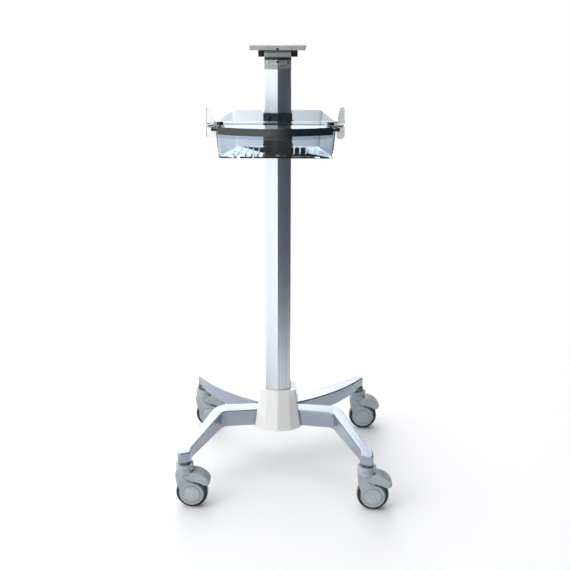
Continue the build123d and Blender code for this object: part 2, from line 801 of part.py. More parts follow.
for corner_name, (side, end) in corners.items():
    swivel_x = side * caster_half_span
    swivel_y = end * caster_half_span
    swivel_base = Plane(origin=(swivel_x, swivel_y, 0))
    side_view = Plane(origin=(swivel_x, swivel_y, 0), x_dir=(1, 0, 0), z_dir=(0, -1, 0))
    wheel_view = Plane(origin=(swivel_x + trail, swivel_y, wheel_radius), x_dir=(1, 0, 0), z_dir=(0, -1, 0))

    # Fixed stem: a stud pressed into the leg, a flange against its underside and the fork's kingpin.
    with BuildPart() as stem:
        with Locations(swivel_base * Pos(0, 0, leg_bottom)):
            Cylinder(stud_radius, 20, align=(Align.CENTER, Align.CENTER, Align.MIN))
            Cylinder(
                kingpin_radius,
                stem_height + kingpin_reach,
                align=(Align.CENTER, Align.CENTER, Align.MAX),
            )
            Cylinder(stem_radius, stem_height - 0.3, align=(Align.CENTER, Align.CENTER, Align.MAX))
    save(stem.part, f"caster_stem_{corner_name}")

    # Fork: two plates down to round cheeks and an arch over the wheel, thinned where the pedal's
    # skirts lie over them, then a round grooved head with a small stop lug beside it.
    with BuildPart() as fork:
        with BuildSketch(side_view):
            with BuildLine():
                Polyline(
                    (-20.4, head_bottom + 4),
                    (-20.4, 78),
                    (-18, 66),
                    (trail - cheek_radius, 48),
                    (trail - cheek_radius, wheel_radius),
                    (trail, wheel_radius),
                    (plate_edge, 60),
                    (plate_edge, head_bottom + 4),
                    close=True,
                )
            make_face()
            with Locations((trail, wheel_radius)):
                Circle(cheek_radius)
        extrude(amount=fork_half_width, both=True)
        for face in (-1, 1):
            with BuildSketch(side_view.offset(face * plate_half_width)):
                with Locations((pedal_axis_x, pedal_axis_z)):
                    Circle(pedal_boss_radius + 0.5)
                with BuildLine():
                    Polyline((9, 96), (2, 77), (6, 73), (9, 70), (13, 67), (30, 66.2), (30, 96), close=True)
                make_face()
            extrude(amount=face * 6, mode=Mode.SUBTRACT)
        with Locations(swivel_base * Pos(0, 0, head_bottom)):
            Cylinder(head_radius, head_top - head_bottom, align=(Align.CENTER, Align.CENTER, Align.MIN))
        chamfer(fork.faces().sort_by(Axis.Z)[-1].edges(), 1)
        with BuildSketch(swivel_base.offset(head_top - 10.6)):
            Circle(head_radius + 3)
            Circle(head_radius - 0.8, mode=Mode.SUBTRACT)
        extrude(amount=1.2, mode=Mode.SUBTRACT)
        with Locations(swivel_base * Pos(lug_x, lug_y, head_top - 12)):
            Cylinder(lug_radius, lug_height, align=(Align.CENTER, Align.CENTER, Align.MIN))
        with BuildSketch(wheel_view):
            Circle(wheel_cavity)
            with Locations((30, -30)):
                Rectangle(60, 60)
            with Locations((-30, -40)):
                Rectangle(60, 60)
        extrude(amount=cheek_inner, both=True, mode=Mode.SUBTRACT)
        with Locations(wheel_view):
            Cylinder(axle_radius, 60, mode=Mode.SUBTRACT)
            for face in (-1, 1):
                with Locations((0, 0, face * fork_half_width)):
                    Cylinder(cap_radius + cap_gap, 2 * cap_recess, mode=Mode.SUBTRACT)
        with Locations(swivel_base * Pos(0, 0, head_top)):
            Cylinder(
                kingpin_radius + running_clearance,
                kingpin_reach + 0.4,
                align=(Align.CENTER, Align.CENTER, Align.MAX),
                mode=Mode.SUBTRACT,
            )
        with BuildSketch(side_view):
            with Locations((12, 85)):
                Rectangle(18.4, 19)
        extrude(amount=tongue_half_width + 0.4, both=True, mode=Mode.SUBTRACT)
        with Locations(side_view * Pos(pedal_axis_x, pedal_axis_z, 0)):
            Cylinder(pedal_pin_radius, 60, mode=Mode.SUBTRACT)
    save(fork.part, f"fork_{corner_name}")

    # Pin across the fork that the brake pedal turns on.
    with BuildPart() as pedal_pin:
        with Locations(side_view * Pos(pedal_axis_x, pedal_axis_z, 0)):
            Cylinder(pedal_pin_radius, 2 * plate_half_width - 0.6)
    save(pedal_pin.part, f"pedal_pin_{corner_name}")

    # Brake pedal: a hood over the back of the wheel, with a skirt over each side of the fork and a
    # tongue round the pin.
    with BuildPart() as pedal:
        with BuildSketch(side_view):
            with BuildLine():
                ThreePointArc((9, 93), (42, 86.5), (60, 68))
                Polyline(
                    (60, 68),
                    (58, 62.5),
                    (50, 60),
                    (45.8, 61),
                    (35.9, 66.3),
                    (22.6, 69.8),
                    (9, 75.2),
                    (9, 93),
                )
            make_face()
            with Locations((pedal_axis_x, pedal_axis_z)):
                Circle(pedal_boss_radius)
        extrude(amount=pedal_half_width, both=True)
        with BuildSketch(swivel_base.offset(50), mode=Mode.PRIVATE) as footprint:
            with Locations((21, 0)):
                RectangleRounded(84.6, 2 * pedal_half_width, 13)
        extrude(footprint.sketch, amount=60, mode=Mode.INTERSECT)
        with BuildSketch(wheel_view):
            Circle(45)
        extrude(amount=cheek_inner, both=True, mode=Mode.SUBTRACT)
        with BuildSketch(side_view):
            with BuildLine():
                Polyline((-30, 60), (22.5, 60), (22.5, 74), (20.8, 86), (20.8, 100), (-30, 100), close=True)
            make_face()
        extrude(amount=plate_half_width + skirt_gap, both=True, mode=Mode.SUBTRACT)
        with Locations(swivel_base * Pos(0, 0, head_bottom - 0.5)):
            Cylinder(
                head_radius + 0.5,
                40,
                align=(Align.CENTER, Align.CENTER, Align.MIN),
                mode=Mode.SUBTRACT,
            )
        with BuildSketch(side_view):
            with BuildLine():
                Polyline((-5, 84), (9, 87.4), (9, 100), (-5, 100), close=True)
            make_face()
        extrude(amount=pedal_half_width + 1, both=True, mode=Mode.SUBTRACT)
        with BuildSketch(side_view):
            with Locations((pedal_axis_x, pedal_axis_z)):
                Circle(tongue_radius)
            with Locations((16.5, pedal_axis_z + 1.5)):
                Rectangle(15, 7)
            with Locations((pedal_axis_x, pedal_axis_z)):
                Circle(pedal_pin_radius + running_clearance, mode=Mode.SUBTRACT)
        extrude(amount=tongue_half_width, both=True)
    save(pedal.part, f"brake_pedal_{corner_name}")

    # Wheel rim, turned profile.
    with BuildPart() as rim:
        with BuildSketch(Plane(origin=wheel_view.origin, x_dir=(0, 1, 0), z_dir=(1, 0, 0))):
            with BuildLine():
                Polyline(
                    (-12.2, axle_radius + running_clearance),
                    (12.2, axle_radius + running_clearance),
                    (12.2, 9),
                    (3, 9),
                    (3, 26),
                    (10.5, 26),
                    (10.5, rim_radius),
                    (-10.5, rim_radius),
                    (-10.5, 26),
                    (-3, 26),
                    (-3, 9),
                    (-12.2, 9),
                    close=True,
                )
            make_face()
        revolve(axis=Axis(wheel_view.origin, (0, 1, 0)))
    save(rim.part, f"wheel_rim_{corner_name}")

    # Black tyre with rounded shoulders.
    with BuildPart() as tyre:
        with Locations(wheel_view):
            Cylinder(wheel_radius, 2 * wheel_half_width)
            fillet(tyre.edges(), 4)
            Cylinder(rim_radius, 2 * wheel_half_width, mode=Mode.SUBTRACT)
    save(tyre.part, f"tyre_{corner_name}")

    # Axle with a flat round cap at each end, sunk into the cheeks, and a small dimple in each cap.
    with BuildPart() as wheel_axle:
        with Locations(wheel_view):
            Cylinder(axle_radius, 2 * fork_half_width - 1)
            for face in (-1, 1):
                with Locations((0, 0, face * (fork_half_width - 0.1))):
                    Cylinder(cap_radius, 2.6)
        cap_edges = wheel_axle.edges().group_by(Axis.Y)
        fillet(cap_edges[0] + cap_edges[-1], 1.0)
        with Locations(wheel_view):
            for face in (-1, 1):
                with Locations((5.5, 0, face * (fork_half_width + 1.2))):
                    Cylinder(2.4, 1.6, mode=Mode.SUBTRACT)
    save(wheel_axle.part, f"wheel_axle_{corner_name}")
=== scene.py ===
import json
import math

import bmesh
import bpy
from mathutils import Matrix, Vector


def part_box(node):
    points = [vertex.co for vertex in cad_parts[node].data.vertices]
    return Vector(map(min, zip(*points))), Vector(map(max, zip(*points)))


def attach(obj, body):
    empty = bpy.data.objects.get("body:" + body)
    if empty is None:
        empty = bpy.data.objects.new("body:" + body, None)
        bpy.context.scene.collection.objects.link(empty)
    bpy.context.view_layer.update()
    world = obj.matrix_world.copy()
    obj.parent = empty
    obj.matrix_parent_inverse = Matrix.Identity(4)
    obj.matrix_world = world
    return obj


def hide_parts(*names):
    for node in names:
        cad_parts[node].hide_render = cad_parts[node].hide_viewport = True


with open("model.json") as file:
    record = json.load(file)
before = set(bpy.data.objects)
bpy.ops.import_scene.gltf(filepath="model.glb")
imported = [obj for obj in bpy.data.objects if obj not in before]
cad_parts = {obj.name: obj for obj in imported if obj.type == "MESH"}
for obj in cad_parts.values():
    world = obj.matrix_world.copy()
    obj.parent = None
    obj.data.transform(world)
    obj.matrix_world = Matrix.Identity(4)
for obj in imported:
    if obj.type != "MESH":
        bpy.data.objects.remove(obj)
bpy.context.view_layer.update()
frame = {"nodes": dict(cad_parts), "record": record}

# ---- base plate and hub casting -----------------------------------------------------------------
# A laser-cut steel plate, zinc plated, lies under the hub. On it stands the hub's sand-cast
# aluminium core, with a socket for the column. Both are hidden by the cover except from below.

MM = 0.001
record = frame["record"]
body_of = {node: body for body, nodes in record["behaviour"]["bodies"].items() for node in nodes}


def tint(code):
    """Linear colour of a six-figure hex code."""
    channels = [int(code[i:i + 2], 16) / 255 for i in (0, 2, 4)]
    return [c / 12.92 if c <= 0.04045 else ((c + 0.055) / 1.055) ** 2.4 for c in channels] + [1.0]


def add_node(tree, kind, sockets=None, **settings):
    """New node in a tree, with its settings and the plain values or links of its sockets."""
    node = tree.nodes.new(kind)
    for setting, value in settings.items():
        setattr(node, setting, value)
    for socket, value in (sockets or {}).items():
        if isinstance(value, bpy.types.NodeSocket):
            tree.links.new(value, node.inputs[socket])
        else:
            node.inputs[socket].default_value = value
    return node


def speckle(tree, size, stretch=(1, 1, 1), detail=3.0, shift=0.0):
    """Noise whose blotches are about size millimetres across, drawn out along an axis by stretch."""
    scale = [1 / (size * MM * factor) for factor in stretch]
    place = add_node(tree, "ShaderNodeTexCoord").outputs["Object"]
    mapped = add_node(tree, "ShaderNodeMapping", {"Vector": place, "Location": (shift,) * 3, "Scale": scale})
    sockets = {"Vector": mapped.outputs[0], "Scale": 1.0, "Detail": detail}
    noise = add_node(tree, "ShaderNodeTexNoise", sockets)
    return noise.outputs["Fac"]


def surface(
    name, dark, light, sheen=(0.3, 0.4), blotch=40.0, grain=1.0, relief=0.02, stretch=(1, 1, 1), **shader
):
    """Procedural finish: colour drifts between two tints, gloss between two roughnesses, with a fine relief.

    Sizes and relief are in millimetres; shader holds plain values of the shader's own sockets."""
    material = bpy.data.materials.new(name)
    material.use_nodes = True
    tree = material.node_tree
    principled = tree.nodes["Principled BSDF"]
    for socket, value in shader.items():
        principled.inputs[socket.replace("_", " ")].default_value = value
    drift = add_node(tree, "ShaderNodeValToRGB", {"Fac": speckle(tree, blotch, stretch)})
    drift.color_ramp.elements[0].position = 0.3
    drift.color_ramp.elements[0].color = tint(dark)
    drift.color_ramp.elements[1].position = 0.7
    drift.color_ramp.elements[1].color = tint(light)
    tree.links.new(drift.outputs["Color"], principled.inputs["Base Color"])
    gloss = add_node(
        tree,
        "ShaderNodeMapRange",
        {"Value": speckle(tree, blotch / 3, stretch, 4.0, 5.0), "To Min": sheen[0], "To Max": sheen[1]},
    )
    tree.links.new(gloss.outputs["Result"], principled.inputs["Roughness"])
    bump = add_node(
        tree,
        "ShaderNodeBump",
        {"Height": speckle(tree, grain, stretch, 2.0, 11.0), "Strength": 1.0, "Distance": relief * MM},
    )
    tree.links.new(bump.outputs["Normal"], principled.inputs["Normal"])
    return material


def paint_node(names, finish):
    """Give CAD nodes that stay as they are their finish."""
    for name in names:
        frame["nodes"][name].data.materials.clear()
        frame["nodes"][name].data.materials.append(finish)


def add_piece(name, mesh, finishes, stands_for, body=None):
    """Put a finished mesh in the scene: it rides on the body of the CAD nodes it stands for."""
    for finish in finishes:
        mesh.materials.append(finish)
    piece = bpy.data.objects.new(name, mesh)
    bpy.context.scene.collection.objects.link(piece)
    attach(piece, body or body_of[stands_for[0]])
    if body is None:
        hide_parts(*stands_for)
    return piece


def break_edges(piece, width, steps=2, angle=32):
    """Round a piece's sharp edges by a width in millimetres, as a real one's are."""
    bevel = piece.modifiers.new("edge_break", "BEVEL")
    bevel.width = width * MM
    bevel.segments = steps
    bevel.limit_method = "ANGLE"
    bevel.angle_limit = math.radians(angle)
    bevel.harden_normals = True
    bevel.miter_outer = "MITER_ARC"
    return piece


def machined(name, stands_for, finishes, width, steps=2, angle=32):
    """Clean copy of CAD nodes with merged corners, whole flat faces and rounded edges."""
    shape = bmesh.new()
    for node in stands_for:
        shape.from_mesh(frame["nodes"][node].data)
    bmesh.ops.remove_doubles(shape, verts=shape.verts, dist=0.004 * MM)
    bmesh.ops.dissolve_limit(shape, angle_limit=math.radians(0.6), verts=shape.verts, edges=shape.edges)
    for face in shape.faces:
        face.smooth = True
        face.material_index = 0
    mesh = bpy.data.meshes.new(name)
    shape.to_mesh(mesh)
    shape.free()
    mesh.set_sharp_from_angle(angle=math.radians(angle))
    piece = add_piece(name, mesh, finishes, stands_for)
    if width:
        break_edges(piece, width, steps, angle)
    return piece


zinc_plate = surface("zinc_plate", "5c6068", "7c818a", (0.35, 0.5), 60, 2, 0.02, Metallic=0.9)
sand_cast = surface("sand_cast", "85888c", "9c9fa3", (0.5, 0.65), 15, 1.2, 0.12, Metallic=0.8)
machined("hub_base_plate", ["base_plate"], [zinc_plate], 0.6)
machined("hub_casting", ["hub_core"], [sand_cast], 0.8)

# ---- base bolts ---------------------------------------------------------------------------------
# Eight plated socket screws come up through the base plate, one into each leg and four into the
# hub casting. The base, saddle, tray and cap screws are turned by the same tree, from shank to socket.


def add_input(tree, name, kind, value=None):
    """Named input of a geometry tree."""
    socket = tree.interface.new_socket(name=name, in_out="INPUT", socket_type=kind)
    if value is not None:
        socket.default_value = value


def times(tree, left, right):
    """Product of two numbers or sockets."""
    return add_node(tree, "ShaderNodeMath", {0: left, 1: right}, operation="MULTIPLY").outputs[0]


def place_on_points(tree, entry, shape):
    """Set a shape on each point, turned to the point's facing direction, and give it its finish."""
    facing = add_node(tree, "GeometryNodeInputNamedAttribute", {"Name": "facing"}, data_type="FLOAT_VECTOR")
    turn = add_node(tree, "FunctionNodeAlignRotationToVector", {"Vector": facing.outputs[0]}, axis="Z")
    spots = add_node(tree, "GeometryNodeMeshToPoints", {"Mesh": entry.outputs["Points"]})
    spread = add_node(
        tree,
        "GeometryNodeInstanceOnPoints",
        {"Points": spots.outputs[0], "Instance": shape, "Rotation": turn.outputs[0]},
    )
    solid = add_node(tree, "GeometryNodeRealizeInstances", {"Geometry": spread.outputs[0]})
    painted = add_node(
        tree, "GeometryNodeSetMaterial", {"Geometry": solid.outputs[0], "Material": entry.outputs["Finish"]}
    )
    leave = tree.nodes.new("NodeGroupOutput")
    tree.links.new(painted.outputs[0], leave.inputs[0])


def screw_maker():
    """Geometry tree that turns a socket screw at each point: shank, domed head and recess."""
    tree = bpy.data.node_groups.new("socket_screws", "GeometryNodeTree")
    add_input(tree, "Points", "NodeSocketGeometry")
    for name in ("Shank Radius", "Shank Length", "Head Radius", "Head Height", "Socket Radius"):
        add_input(tree, name, "NodeSocketFloat", 0.001)
    add_input(tree, "Finish", "NodeSocketMaterial")
    tree.interface.new_socket(name="Screws", in_out="OUTPUT", socket_type="NodeSocketGeometry")
    entry = tree.nodes.new("NodeGroupInput")
    size = entry.outputs
    disc = add_node(
        tree, "GeometryNodeMeshCircle", {"Vertices": 24, "Radius": size["Shank Radius"]}, fill_type="NGON"
    )
    depth = add_node(tree, "ShaderNodeCombineXYZ", {"Z": times(tree, size["Shank Length"], -1.0)})
    start = add_node(
        tree, "GeometryNodeTransform", {"Geometry": disc.outputs["Mesh"], "Translation": depth.outputs[0]}
    ).outputs[0]
    flare = add_node(
        tree, "ShaderNodeMath", {0: size["Head Radius"], 1: size["Shank Radius"]}, operation="DIVIDE"
    ).outputs[0]
    dome = 0.78
    mouth = add_node(
        tree, "ShaderNodeMath", {0: size["Socket Radius"], 1: times(tree, size["Head Radius"], dome)},
        operation="DIVIDE",
    ).outputs[0]
    steps = (
        (size["Shank Length"], 1.0),
        (0.0, flare),
        (times(tree, size["Head Height"], 0.55), 1.0),
        (times(tree, size["Head Height"], 0.3), 0.93),
        (times(tree, size["Head Height"], 0.15), dome / 0.93),
        (0.0, mouth),
        (times(tree, size["Head Height"], -0.6), 1.0),
    )
    body, top = start, None
    for rise, scale in steps:
        drawn = add_node(tree, "GeometryNodeExtrudeMesh", {"Mesh": body, "Offset Scale": rise}, mode="FACES")
        if top is not None:
            tree.links.new(top, drawn.inputs["Selection"])
        top = drawn.outputs["Top"]
        body = add_node(
            tree,
            "GeometryNodeScaleElements",
            {"Geometry": drawn.outputs["Mesh"], "Selection": top, "Scale": scale},
        ).outputs[0]
    underside = add_node(tree, "GeometryNodeFlipFaces", {"Mesh": start})
    both = tree.nodes.new("GeometryNodeJoinGeometry")
    tree.links.new(underside.outputs[0], both.inputs[0])
    tree.links.new(body, both.inputs[0])
    closed = add_node(tree, "GeometryNodeMergeByDistance", {"Geometry": both.outputs[0], "Distance": 1e-6})
    place_on_points(tree, entry, closed.outputs[0])
    return tree


def grow(name, tree, spots, inputs, stands_for, body=None):
    """Run a geometry tree on (point, facing) pairs and keep the result as a plain mesh piece."""
    seeds = bpy.data.meshes.new(name + "_spots")
    seeds.from_pydata([spot for spot, facing in spots], [], [])
    facings = seeds.attributes.new("facing", "FLOAT_VECTOR", "POINT")
    for row, (spot, facing) in zip(facings.data, spots):
        row.vector = facing
    holder = bpy.data.objects.new(name + "_spots", seeds)
    bpy.context.scene.collection.objects.link(holder)
    grower = holder.modifiers.new("grow", "NODES")
    grower.node_group = tree
    keys = {item.name: item.identifier for item in tree.interface.items_tree if item.in_out == "INPUT"}
    for label, value in inputs.items():
        grower[keys[label]] = value
    bpy.context.view_layer.update()
    grown = holder.evaluated_get(bpy.context.evaluated_depsgraph_get())
    mesh = bpy.data.meshes.new_from_object(grown)
    holder.modifiers.clear()
    bpy.data.objects.remove(holder)
    mesh.name = name
    mesh.materials.clear()
    for face in mesh.polygons:
        face.use_smooth = True
    mesh.set_sharp_from_angle(angle=math.radians(28))
    return add_piece(name, mesh, [inputs["Finish"]], stands_for, body)


def screws(name, spots, sizes, finish, stands_for):
    """Screws with sizes in millimetres: shank radius and length, head radius and height, socket radius."""
    labels = ("Shank Radius", "Shank Length", "Head Radius", "Head Height", "Socket Radius")
    inputs = {label: size * MM for label, size in zip(labels, sizes)}
    inputs["Finish"] = finish
    return grow(name, screw_tree, spots, inputs, [stands_for])


def at(*place):
    """Point given in millimetres."""
    return Vector(place) * MM


screw_tree = screw_maker()
plated_steel = surface("plated_steel", "9a9da1", "c2c5c9", (0.22, 0.34), 5, 0.3, 0.004, Metallic=1.0)
bolt_spots = [(-55, -12), (55, -12), (-55, 41), (55, 41), (-37, 8), (37, 8), (-20, 42), (20, 42)]
plate_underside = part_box("base_plate")[0].z / MM
screws(
    "base_bolt_set",
    [(at(x, y, plate_underside), (0, 0, -1)) for x, y in bolt_spots],
    (4, 24.5, 6.5, 4.2, 3.2),
    plated_steel,
    "base_bolts",
)

# ---- legs ---------------------------------------------------------------------------------------
# Four die-cast aluminium legs, flat below and falling towards the casters, with rounded top edges
# and a satin silver-blue paint. The front pair runs out to the sides and bends forwards.

leg_paint = surface(
    "leg_paint",
    "949dab",
    "a2abb8",
    (0.2, 0.28),
    90,
    0.7,
    0.01,
    Metallic=0.8,
    Coat_Weight=0.2,
    Coat_Roughness=0.15,
)
for end in ("front", "rear"):
    for side in ("left", "right"):
        machined(f"{end}_leg_{side}", [f"leg_{end}_{side}"], [leg_paint], 1.4, 3)

# ---- column -------------------------------------------------------------------------------------
# One length of extruded aluminium, 60 mm wide, with a shallow V front and a crisp ridge. It is
# brushed along its length and clear anodised, so that the die lines run from end to end.


def rounded_outline(corners, radii, steps=4):
    """Closed outline through corners, each one rounded by its own radius, in metres."""
    outline = []
    for i, (corner, radius) in enumerate(zip(corners, radii)):
        before = (Vector(corners[i - 1]) - Vector(corner)).normalized()
        after = (Vector(corners[(i + 1) % len(corners)]) - Vector(corner)).normalized()
        half = before.angle(after) / 2
        run = radius / math.tan(half)
        middle = (before + after).normalized() * (radius / math.sin(half)) + Vector(corner)
        first = Vector(corner) + before * run - middle
        last = Vector(corner) + after * run - middle
        for step in range(steps + 1):
            point = first.lerp(last, step / steps).normalized() * radius + middle
            outline.append(point * MM)
    return outline


def tube(outer, inner, bottom, top):
    """Closed mesh of a hollow bar between two heights, from two outlines of as many points each."""
    shape = bmesh.new()
    rings = [
        [shape.verts.new((spot.x, spot.y, z * MM)) for spot in line]
        for line in (outer, inner)
        for z in (bottom, top)
    ]
    for low, high in ((0, 1), (1, 3), (3, 2), (2, 0)):
        for i in range(len(outer)):
            j = (i + 1) % len(outer)
            shape.faces.new((rings[low][i], rings[low][j], rings[high][j], rings[high][i]))
    for face in shape.faces:
        face.smooth = True
    bmesh.ops.recalc_face_normals(shape, faces=shape.faces)
    return shape


def to_mesh(name, shape, angle=30):
    """Finished mesh from a bmesh, with its edges sharp above an angle."""
    mesh = bpy.data.meshes.new(name)
    shape.to_mesh(mesh)
    shape.free()
    mesh.set_sharp_from_angle(angle=math.radians(angle))
    return mesh


anodised = surface(
    "anodised_extrusion",
    "c9cdd5",
    "dce0e6",
    (0.26, 0.34),
    3.0,
    0.35,
    0.006,
    (1, 1, 400),
    Metallic=1.0,
)
low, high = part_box("column")
column_half = high.x / MM
column_corners = [(-column_half, -26), (0, -33), (column_half, -26), (column_half, 30), (-column_half, 30)]
inner_half = column_half - 3
inner_corners = [(-inner_half, -23.7), (0, -30), (inner_half, -23.7), (inner_half, 27), (-inner_half, 27)]
extrusion = tube(
    rounded_outline(column_corners, (1.2, 0.8, 1.2, 4, 4)),
    rounded_outline(inner_corners, (0.5, 0.5, 0.5, 1, 1)),
    low.z / MM,
    high.z / MM,
)
add_piece("column_extrusion", to_mesh("column_extrusion", extrusion, 50), [anodised], ["column"])

# ---- hub cover ----------------------------------------------------------------------------------
# An injection-moulded cover in glossy white plastic, dropped over the column and the leg roots. Its
# front carries on the column's V, and it is cut out round each leg.

gloss_white = surface(
    "gloss_white", "dfdfde", "e7e7e6", (0.12, 0.2), 60, 1.5, 0.01, Specular_IOR_Level=0.5, Coat_Weight=0.5,
    Coat_Roughness=0.08,
)
machined("hub_shroud", ["hub_cover"], [gloss_white], 1.2, 3)

# ---- casters ------------------------------------------------------------------------------------
# Four swivel casters with total-lock pedals. Fork, pedal and axle caps are moulded in pale grey
# nylon with a fine spark texture, the tyre is black thermoplastic rubber on a nylon rim.


def turned(name, profile, centre, direction, steps=72, angle=30):
    """Solid turned round an axis from a profile of (along, radius) points in millimetres.

    The profile is a closed loop, or runs from pole to pole when it starts on the axis."""
    axis = Vector(direction).normalized()
    across = Vector((0, 0, 1)) if abs(axis.z) < 0.5 else Vector((1, 0, 0))
    middle = Vector(centre)
    shape = bmesh.new()
    ring = [
        shape.verts.new(middle + axis * (along * MM) + across * (radius * MM)) for along, radius in profile
    ]
    edges = [shape.edges.new(pair) for pair in zip(ring, ring[1:])]
    if profile[0][1] > 0:
        edges.append(shape.edges.new((ring[-1], ring[0])))
    bmesh.ops.spin(
        shape, geom=ring + edges, cent=middle, axis=axis, angle=math.tau, steps=steps, use_merge=True
    )
    bmesh.ops.remove_doubles(shape, verts=shape.verts, dist=0.002 * MM)
    bmesh.ops.recalc_face_normals(shape, faces=shape.faces)
    for face in shape.faces:
        face.smooth = True
    return to_mesh(name, shape, angle)


def arc(centre, radius, first, last, steps):
    """Points on an arc in a profile, from one angle to another in degrees."""
    angles = [math.radians(first + (last - first) * step / steps) for step in range(steps + 1)]
    return [(centre[0] + radius * math.cos(a), centre[1] + radius * math.sin(a)) for a in angles]


pedal_arc = (16.4, 43.6)
pedal_radius = 50.0
nylon = surface("grey_nylon", "9aa3a8", "a9b2b6", (0.34, 0.44), 25, 0.45, 0.02, Specular_IOR_Level=0.45)
cap_nylon = surface("cap_nylon", "a3acb1", "b4bcc1", (0.28, 0.36), 15, 0.5, 0.015)
tyre_black = surface("tyre_black", "050608", "0b0d10", (0.16, 0.3), 12, 0.6, 0.015, Specular_IOR_Level=0.5)
rim_grey = surface("rim_grey", "6d7477", "7c8386", (0.4, 0.5), 12, 0.5, 0.02)
# Caster stems: steel, set much darker than the plated steel as painted shade for the neck between leg and
# caster head, which the leg shades.
shaded_stem_steel = surface("stem_steel_painted_shade", "5a5d61", "85888c", (0.25, 0.38), 6, 0.3, 0.004, Metallic=1.0)

tyre_half = 11.5
tyre_outer = 37.5
tyre_profile = (
    [(-tyre_half, 30.9), (-tyre_half, 32.0)]
    + arc((-7.5, 33.2), 4.0, 180, 110, 6)
    + [(-5.0, 37.35), (-1.5, tyre_outer), (1.5, tyre_outer), (5.0, 37.35)]
    + arc((7.5, 33.2), 4.0, 70, 0, 6)
    + [(tyre_half, 32.0), (tyre_half, 30.9)]
)
rim_profile = [
    (-12.2, 4.05), (12.2, 4.05), (12.2, 8.4), (11.6, 9), (3.4, 9.2), (3, 9.8), (3, 25.2), (3.6, 26),
    (9.8, 26.4), (10.5, 27), (10.5, 30.4), (10.0, 30.9), (-10.0, 30.9), (-10.5, 30.4), (-10.5, 27),
    (-9.8, 26.4), (-3.6, 26), (-3, 25.2), (-3, 9.8), (-3.4, 9.2), (-11.6, 9), (-12.2, 8.4),
]
cap_face = 19.2
cap_half = [
    (cap_face, 0.0), (cap_face, 6.8), (cap_face - 0.4, 7.2), (cap_face - 0.4, 7.8), (cap_face, 8.4),
    (cap_face, 14.8), (cap_face - 0.5, 15.2), (cap_face - 0.5, 16.0), (cap_face, 16.4), (cap_face, 18.6),
    (cap_face - 0.2, 19.4), (cap_face - 0.6, 19.8), (cap_face - 3.0, 19.8), (cap_face - 3.0, 4.0),
]
cap_profile = [(-along, radius) for along, radius in cap_half] + cap_half[::-1]


def rib_maker():
    """Geometry tree that lays a rounded grip rib on each point, across the pedal."""
    tree = bpy.data.node_groups.new("grip_ribs", "GeometryNodeTree")
    add_input(tree, "Points", "NodeSocketGeometry")
    for name in ("Rib Length", "Rib Radius"):
        add_input(tree, name, "NodeSocketFloat", 0.001)
    add_input(tree, "Finish", "NodeSocketMaterial")
    tree.interface.new_socket(name="Ribs", in_out="OUTPUT", socket_type="NodeSocketGeometry")
    entry = tree.nodes.new("NodeGroupInput")
    bar = add_node(
        tree,
        "GeometryNodeMeshCylinder",
        {
            "Vertices": 12,
            "Side Segments": 1,
            "Radius": entry.outputs["Rib Radius"],
            "Depth": entry.outputs["Rib Length"],
        },
    )
    turned_bar = add_node(
        tree, "GeometryNodeTransform", {"Geometry": bar.outputs["Mesh"], "Rotation": (math.pi / 2, 0, 0)}
    )
    place_on_points(tree, entry, turned_bar.outputs[0])
    return tree


rib_tree = rib_maker()
for corner in ("front_left", "front_right", "rear_left", "rear_right"):
    low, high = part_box(f"tyre_{corner}")
    axle = (low + high) / 2
    low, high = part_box(f"caster_stem_{corner}")
    swivel = (low + high) / 2
    facing = math.copysign(1, axle.x - swivel.x)
    machined(f"stem_{corner}", [f"caster_stem_{corner}"], [shaded_stem_steel], 0.4)
    machined(f"caster_fork_{corner}", [f"fork_{corner}"], [nylon], 0.9, 3, 30)
    machined(f"pedal_{corner}", [f"brake_pedal_{corner}"], [nylon], 1.0, 3, 30)
    paint_node([f"pedal_pin_{corner}"], plated_steel)
    grip = []
    for angle in (36, 41, 46, 51, 56):
        out = Vector((facing * math.cos(math.radians(angle)), 0, math.sin(math.radians(angle))))
        arc_centre = Vector((swivel.x + facing * pedal_arc[0] * MM, swivel.y, pedal_arc[1] * MM))
        grip.append((arc_centre + out * (pedal_radius * MM), out))
    rib_sizes = {"Rib Length": 21 * MM, "Rib Radius": 0.9 * MM, "Finish": nylon}
    pedal = f"brake_pedal_{corner}"
    grow(f"pedal_ribs_{corner}", rib_tree, grip, rib_sizes, [pedal], body_of[pedal])
    tyre = turned("tyre", tyre_profile, axle, (0, 1, 0), 96)
    add_piece(f"caster_tyre_{corner}", tyre, [tyre_black], [f"tyre_{corner}"])
    rim = turned("rim", rim_profile, axle, (0, 1, 0))
    add_piece(f"rim_{corner}", rim, [rim_grey], [f"wheel_rim_{corner}"])
    caps = turned("axle_caps", cap_profile, axle, (0, 1, 0), 64)
    add_piece(f"axle_caps_{corner}", caps, [cap_nylon], [f"wheel_axle_{corner}"])

# ---- tray bracket -------------------------------------------------------------------------------
# A black moulded saddle is clamped round the column by two plated screws on each side. Four bosses
# on its front reach the tray's back wall.

textured_black = surface(
    "textured_black", "08090b", "121316", (0.38, 0.5), 20, 0.5, 0.02, Specular_IOR_Level=0.4
)
machined("tray_saddle", ["tray_bracket"], [textured_black], 0.8, 2)
saddle_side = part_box("tray_bracket")[1].x / MM
screws(
    "saddle_screws",
    [(at(side * saddle_side, 0, z), (side, 0, 0)) for side in (-1, 1) for z in (825, 880)],
    (2.5, 5, 4.5, 2.6, 1.6),
    plated_steel,
    "bracket_screws",
)

# ---- tray ---------------------------------------------------------------------------------------
# The tray is one moulding in clear, slightly smoked plastic: tapered walls, a narrow lip and ribs
# along the floor. Four pan-headed screws hold its back wall on the saddle.

